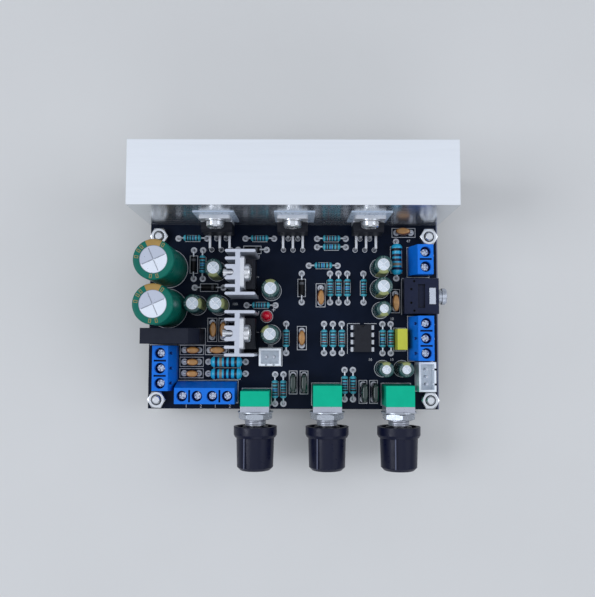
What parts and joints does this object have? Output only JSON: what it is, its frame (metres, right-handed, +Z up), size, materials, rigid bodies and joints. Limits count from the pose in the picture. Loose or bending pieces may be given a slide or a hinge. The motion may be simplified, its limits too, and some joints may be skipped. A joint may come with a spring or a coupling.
{
  "type": "audio amplifier board",
  "caption": "Black audio amplifier circuit board on standoffs, with a tall finned heatsink at the rear, screw terminals, an audio jack and turning tone knobs at the front.",
  "frame": {"origin": "centre of the four standoffs, at the level of their feet", "axes": "+X towards the side with the audio jack, +Y towards the heatsink, +Z up from the board"},
  "size_m": [0.104, 0.1047, 0.0476],
  "materials": {
    "board_black": "satin black solder mask",
    "tinned_copper": "dull tin",
    "solder": "bright solder",
    "brass": "turned brass",
    "plated_steel": "bright zinc plating",
    "heatsink_aluminium": "satin extruded",
    "bright_aluminium": "bright extruded",
    "insulator_blue": "silicone pad",
    "chip_black": "moulded epoxy",
    "can_aluminium": "drawn can",
    "sleeve_green": "shrunk sleeve",
    "resistor_blue": "lacquer",
    "diode_black": "moulded epoxy",
    "ceramic_orange": "dipped",
    "film_green": "dipped",
    "box_yellow": "moulded",
    "lamp_red": "tinted epoxy",
    "header_white": "moulded nylon",
    "jack_black": "moulded",
    "control_green": "moulded",
    "control_metal": "die cast and plated",
    "knob_black": "moulded",
    "terminal_blue": "moulded"
  },
  "bodies": {
    "board": {"circuit_board": "board_black", "solder_lands": "tinned_copper", "solder_joints": "solder", "standoffs": "plated_steel", "standoff_nuts": "plated_steel", "heatsink": "heatsink_aluminium", "heatsink_screws": "plated_steel", "insulator_pads": "insulator_blue", "chip_screws": "plated_steel", "power_chip_bodies": "chip_black", "power_chip_leadframes": "tinned_copper", "regulator_heatsinks": "bright_aluminium", "regulator_bodies": "chip_black", "regulator_leadframes": "tinned_copper", "regulator_screws": "plated_steel", "bridge_rectifier": "chip_black", "filter_capacitor_cans": "can_aluminium", "filter_capacitor_sleeves": "sleeve_green", "small_capacitor_cans": "can_aluminium", "small_capacitor_sleeves": "sleeve_green", "resistors": "resistor_blue", "power_resistors": "resistor_blue", "diodes": "diode_black", "ceramic_capacitors": "ceramic_orange", "film_capacitors": "film_green", "box_capacitor": "box_yellow", "indicator_lamp": "lamp_red", "small_chip": "chip_black", "two_pin_header": "header_white", "three_pin_header": "header_white", "jack_housing": "jack_black", "jack_barrel": "plated_steel", "component_leads": "tinned_copper", "control_bodies": "control_green", "control_fronts": "control_metal", "control_nuts": "plated_steel", "terminal_contacts": "brass", "supply_terminal": "terminal_blue", "left_speaker_terminal": "terminal_blue", "right_speaker_terminal": "terminal_blue", "third_speaker_terminal": "terminal_blue", "input_terminal": "terminal_blue"},
    "left_control": {"shaft_left": "control_metal", "knob_left": "knob_black"},
    "middle_control": {"shaft_middle": "control_metal", "knob_middle": "knob_black"},
    "right_control": {"shaft_right": "control_metal", "knob_right": "knob_black"},
    "supply_screw_1": {"supply_screw_1": "plated_steel"},
    "supply_screw_2": {"supply_screw_2": "plated_steel"},
    "supply_screw_3": {"supply_screw_3": "plated_steel"},
    "left_speaker_screw_1": {"left_speaker_screw_1": "plated_steel"},
    "left_speaker_screw_2": {"left_speaker_screw_2": "plated_steel"},
    "right_speaker_screw_1": {"right_speaker_screw_1": "plated_steel"},
    "right_speaker_screw_2": {"right_speaker_screw_2": "plated_steel"},
    "third_speaker_screw_1": {"third_speaker_screw_1": "plated_steel"},
    "third_speaker_screw_2": {"third_speaker_screw_2": "plated_steel"},
    "input_screw_1": {"input_screw_1": "plated_steel"},
    "input_screw_2": {"input_screw_2": "plated_steel"},
    "input_screw_3": {"input_screw_3": "plated_steel"}
  },
  "joints": [
    {"name": "left_control_turn", "type": "hinge", "parent": "board", "child": "left_control", "pos_m": [-0.0128, -0.032, 0.0181], "axis": [0, 1, 0], "range_deg": [-120, 180]},
    {"name": "middle_control_turn", "type": "hinge", "parent": "board", "child": "middle_control", "pos_m": [0.0115, -0.032, 0.0181], "axis": [0, 1, 0], "range_deg": [-119, 181]},
    {"name": "right_control_turn", "type": "hinge", "parent": "board", "child": "right_control", "pos_m": [0.0358, -0.032, 0.0181], "axis": [0, 1, 0], "range_deg": [-133, 167]},
    {"name": "supply_screw_1_turn", "type": "hinge", "parent": "board", "child": "supply_screw_1", "pos_m": [-0.0449, -0.01242, 0.0183], "axis": [0, 0, 1], "range_deg": [-1440, 1080]},
    {"name": "supply_screw_2_turn", "type": "hinge", "parent": "board", "child": "supply_screw_2", "pos_m": [-0.0449, -0.0175, 0.0183], "axis": [0, 0, 1], "range_deg": [-1440, 1080]},
    {"name": "supply_screw_3_turn", "type": "hinge", "parent": "board", "child": "supply_screw_3", "pos_m": [-0.0449, -0.02258, 0.0183], "axis": [0, 0, 1], "range_deg": [-1440, 1080]},
    {"name": "left_speaker_screw_1_turn", "type": "hinge", "parent": "board", "child": "left_speaker_screw_1", "pos_m": [-0.03742, -0.0268, 0.0183], "axis": [0, 0, 1], "range_deg": [-1440, 1080]},
    {"name": "left_speaker_screw_2_turn", "type": "hinge", "parent": "board", "child": "left_speaker_screw_2", "pos_m": [-0.03234, -0.0268, 0.0183], "axis": [0, 0, 1], "range_deg": [-1440, 1080]},
    {"name": "right_speaker_screw_1_turn", "type": "hinge", "parent": "board", "child": "right_speaker_screw_1", "pos_m": [-0.02726, -0.0268, 0.0183], "axis": [0, 0, 1], "range_deg": [-1440, 1080]},
    {"name": "right_speaker_screw_2_turn", "type": "hinge", "parent": "board", "child": "right_speaker_screw_2", "pos_m": [-0.02218, -0.0268, 0.0183], "axis": [0, 0, 1], "range_deg": [-1440, 1080]},
    {"name": "third_speaker_screw_1_turn", "type": "hinge", "parent": "board", "child": "third_speaker_screw_1", "pos_m": [0.0449, 0.01716, 0.0183], "axis": [0, 0, 1], "range_deg": [-1440, 1080]},
    {"name": "third_speaker_screw_2_turn", "type": "hinge", "parent": "board", "child": "third_speaker_screw_2", "pos_m": [0.0449, 0.02224, 0.0183], "axis": [0, 0, 1], "range_deg": [-1440, 1080]},
    {"name": "input_screw_1_turn", "type": "hinge", "parent": "board", "child": "input_screw_1", "pos_m": [0.0449, -0.01228, 0.0183], "axis": [0, 0, 1], "range_deg": [-1440, 1080]},
    {"name": "input_screw_2_turn", "type": "hinge", "parent": "board", "child": "input_screw_2", "pos_m": [0.0449, -0.0072, 0.0183], "axis": [0, 0, 1], "range_deg": [-1440, 1080]},
    {"name": "input_screw_3_turn", "type": "hinge", "parent": "board", "child": "input_screw_3", "pos_m": [0.0449, -0.00212, 0.0183], "axis": [0, 0, 1], "range_deg": [-1440, 1080]}
  ]
}
